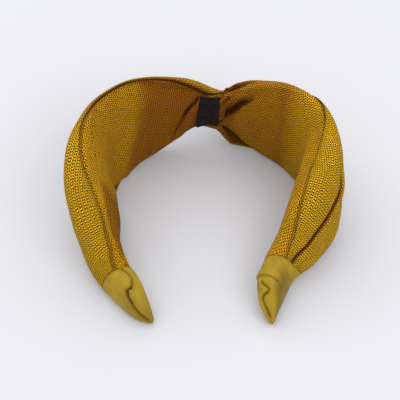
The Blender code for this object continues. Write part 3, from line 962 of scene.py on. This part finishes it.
def build_label():
    """Black woven tape round the neck. It carries no lettering."""
    s = steps(*LABEL_EDGES, 0.3)
    strip = Strip(s, *LABEL_ANGLES, 90)
    lift = 1.5 + 0.15 * ripple(strip.along, strip.width, 5, 9.0)
    lift += 1.2 * (1 - smooth(strip.along, -7, 1))
    edge = np.clip(1 - (LABEL_EDGES[1] - np.abs(strip.along)) / 0.5, 0, 1)
    lift -= 0.7 * edge**2
    points = strip.moved(lift)
    uv = np.stack([strip.along, strip.width], -1)
    obj = grid_object("label_tape", points, uv, woven_tape("label_tape_weave"))
    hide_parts("label")
    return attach(obj, "crown")


def build_knot_core():
    """The gathered cloth at the neck, sunk where the lobes go over it."""
    s = steps(-KNOT_CORE_REACH, KNOT_CORE_REACH, 0.5)
    strip = Strip(s, -180.0, 180.0, CLOTH_COLUMNS)
    sunk = -1.2 - 2.0 * smooth(np.abs(strip.along), 6, 9)
    gathers = np.cos(strip.width * 2 * math.pi / 3.1) * np.cos(strip.along / 8)
    points = strip.moved(sunk + 0.5 * gathers)
    uv = np.stack([strip.along, strip.width], -1)
    # The gathers take the redder colours of painted shade.
    material = knit("knot_gather_knit", SHADED_INNER_LIGHT, SHADED_INNER_DARK, 90.0)
    obj = grid_object("knot_gather", points, uv, material)
    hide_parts("knot_core")
    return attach(obj, "crown")


def build_strap(name, node, climb, lift_off, thickness):
    """One of the two straps that cross outside the crown. climb is 1 if it rises to the right."""
    t = np.linspace(-1, 1, 150)
    frames = Frames(t * STRAP_REACH)
    middle = climb * 8.5 * np.sin(t * math.pi / 2) - 5.0
    half_width = np.minimum(11.0 * (1 - 0.35 * t * t), 0.9 * frames.half - np.abs(middle))
    turns = np.linspace(0, 2 * math.pi, 120, endpoint=False)
    u = np.cos(turns)[None, :]
    side = np.sin(turns)[None, :]
    t = t[:, None]
    up = middle[:, None] + half_width[:, None] * u
    height = np.clip(np.abs(up / frames.half[:, None]), 0, 0.999)
    bulge = (1 - height**ROUNDNESS) ** (1 / ROUNDNESS)
    crown = np.sqrt(np.abs(side))
    body = np.where(side > 0, thickness * (1 - 0.9 * t**6) * crown, 0.3 * side)
    pleats = 0.28 * np.cos(up * 2 * math.pi / 3.6 + climb * t * 2.5) * (side > 0) * crown
    base = 0.5 + lift_off * (1 - t**6)
    points = frames.place(frames.outside[:, None] * bulge + base + body + pleats, up)
    uv = np.stack(np.broadcast_arrays(t * STRAP_REACH, u * half_width[:, None]), -1)
    material = knit(name + "_knit", LIGHT, DARK, 75.0)
    obj = grid_object(name, on_table(points), uv, material, closed=True)
    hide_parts(node)
    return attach(obj, "crown")


def build_wadding(side):
    """The padding between the hoop and the outer panel."""
    s = steps(*WADDING_ENDS[side], 2.5)
    strip = Strip(s, -100.0, 100.0, 40)
    points = strip.moved(np.full(strip.angle.shape, -3.0))
    uv = np.stack([strip.along, strip.width], -1)
    material = wadding(side + "_wadding_fluff")
    obj = grid_object(side + "_wadding", points, uv, material, closed=True)
    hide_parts(side + "_foam_pad")
    return bend(obj)


def build_hoop_half(side):
    """This side's half of the spring steel hoop, narrowed towards its end."""
    s = steps(*HOOP_ENDS[side], 2.0)
    frames = Frames(s)
    half = np.interp(np.abs(s), (140, 164), (6.0, 3.0))
    middle = np.minimum(-(frames.inside - 2.6), -0.2) + 2.8 * (1 - smooth(np.abs(s), 30, 55))
    out = np.stack([middle + k for k in (-0.7, 0.7, 0.7, -0.7)], 1)
    up = np.stack([k * half for k in (-1, -1, 1, 1)], 1)
    points = frames.place(out, up)
    uv = np.stack(np.broadcast_arrays(s[:, None], up), -1)
    material = spring_steel(side + "_hoop_steel")
    obj = grid_object(side + "_hoop_half", points, uv, material, closed=True)
    obj.data.set_sharp_from_angle(angle=math.radians(40))
    if side == "left":
        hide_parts("hoop_core")
    return bend(obj)


def paint(node, material):
    """Gives a CAD node that stays as it is its material."""
    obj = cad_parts[node]
    obj.data.materials.clear()
    obj.data.materials.append(material)


def build_object():
    for side in ("left", "right"):
        build_outer(side)
        build_inner(side)
        build_piping(side, "upper")
        build_piping(side, "lower")
        build_wrap(side)
        build_wadding(side)
        build_hoop_half(side)
        paint(side + "_end_glue", hot_glue(side + "_glue"))
    build_label()
    build_knot_core()
    build_strap("knot_over_strap", "knot_over_band", -1, 3.4, 4.0)
    build_strap("knot_under_strap", "knot_under_band", 1, 0.0, 3.2)


def build_stage():
    half = FLOOR_SIZE / 2
    corners = [(-half, -half, 0), (half, -half, 0), (half, half, 0), (-half, half, 0)]
    mesh = bpy.data.meshes.new("floor")
    mesh.from_pydata(corners, [], [(0, 1, 2, 3)])
    g = Graph("floor_paper")
    g.shader.inputs["Base Color"].default_value = (0.53, 0.53, 0.54, 1)
    g.shader.inputs["Roughness"].default_value = 0.9
    g.shader.inputs["Specular IOR Level"].default_value = 0.1
    mesh.materials.append(g.material)
    floor = bpy.data.objects.new("floor", mesh)
    bpy.context.scene.collection.objects.link(floor)
    world = bpy.data.worlds.new("studio")
    world.use_nodes = True
    sky = world.node_tree.nodes["Background"]
    sky.inputs["Color"].default_value = (0.93, 0.94, 1.0, 1)
    sky.inputs["Strength"].default_value = 1.15
    bpy.context.scene.world = world
    add_light("key", (-0.30, 0.42, 0.75), 1.10, 5.0)
    add_light("fill", (0.35, -0.45, 0.60), 0.60, 2.5)


def add_light(name, place, size, watts):
    """A square soft light that faces the object."""
    data = bpy.data.lights.new(name, "AREA")
    data.size = size
    data.energy = watts
    light = bpy.data.objects.new(name, data)
    light.location = place
    light.rotation_euler = Vector(place).to_track_quat("Z", "Y").to_euler()
    bpy.context.scene.collection.objects.link(light)


def build_camera():
    """A view down onto the band from the side of its open ends."""
    data = bpy.data.cameras.new("camera")
    data.sensor_width = 36.0
    data.lens = CAMERA_LENS
    camera = bpy.data.objects.new("camera", data)
    elevation = math.radians(CAMERA_ELEVATION)
    away = Vector((0, -math.cos(elevation), math.sin(elevation)))
    camera.location = Vector(CAMERA_TARGET) + CAMERA_DISTANCE * away
    camera.rotation_euler = (math.pi / 2 - elevation, 0, 0)
    bpy.context.scene.collection.objects.link(camera)
    bpy.context.scene.camera = camera


build_object()
build_stage()
build_camera()
bpy.context.scene.view_settings.view_transform = "Standard"
